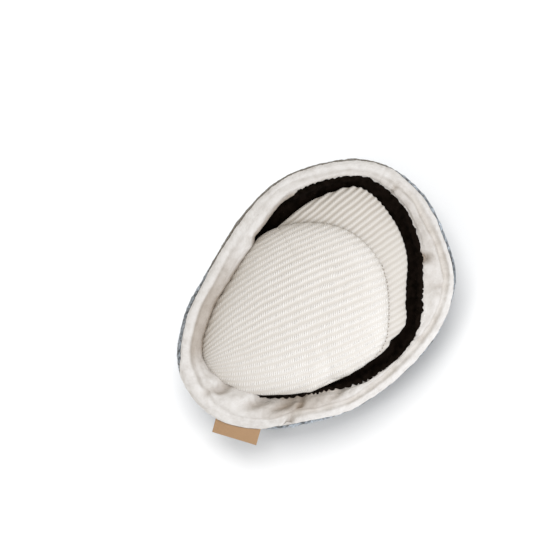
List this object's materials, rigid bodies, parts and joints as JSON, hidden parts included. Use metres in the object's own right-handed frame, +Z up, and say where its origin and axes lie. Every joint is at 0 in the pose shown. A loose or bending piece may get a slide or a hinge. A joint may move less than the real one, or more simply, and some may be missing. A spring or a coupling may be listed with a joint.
{
  "type": "plush oyster toy",
  "caption": "Stuffed plush toy in the form of an oyster on the half shell: a soft cup with a puffy lining, a dark mantle and plump ribbed lobes, with a bare folded tag at its rim.",
  "frame": {"origin": "centre of the whole toy's bounding box in plan, on the surface it rests on", "axes": "+Z up, out of the open side; +X along the toy towards its broad lip; +Y towards the higher side of the rim"},
  "size_m": [0.2068, 0.1468, 0.0614],
  "materials": {
    "shell": "short blue-grey plush, mottled",
    "lining": "short white plush with a stitched rim",
    "mantle": "short black-brown plush",
    "lobe_back": "cream ribbed fabric",
    "lobe_front": "cream ribbed fabric",
    "tag": "tan woven tape"
  },
  "bodies": {
    "root": {"shell": "shell", "lining": "lining", "mantle": "mantle", "lobe_back": "lobe_back", "lobe_front": "lobe_front", "tag": "tag"}
  },
  "joints": []
}
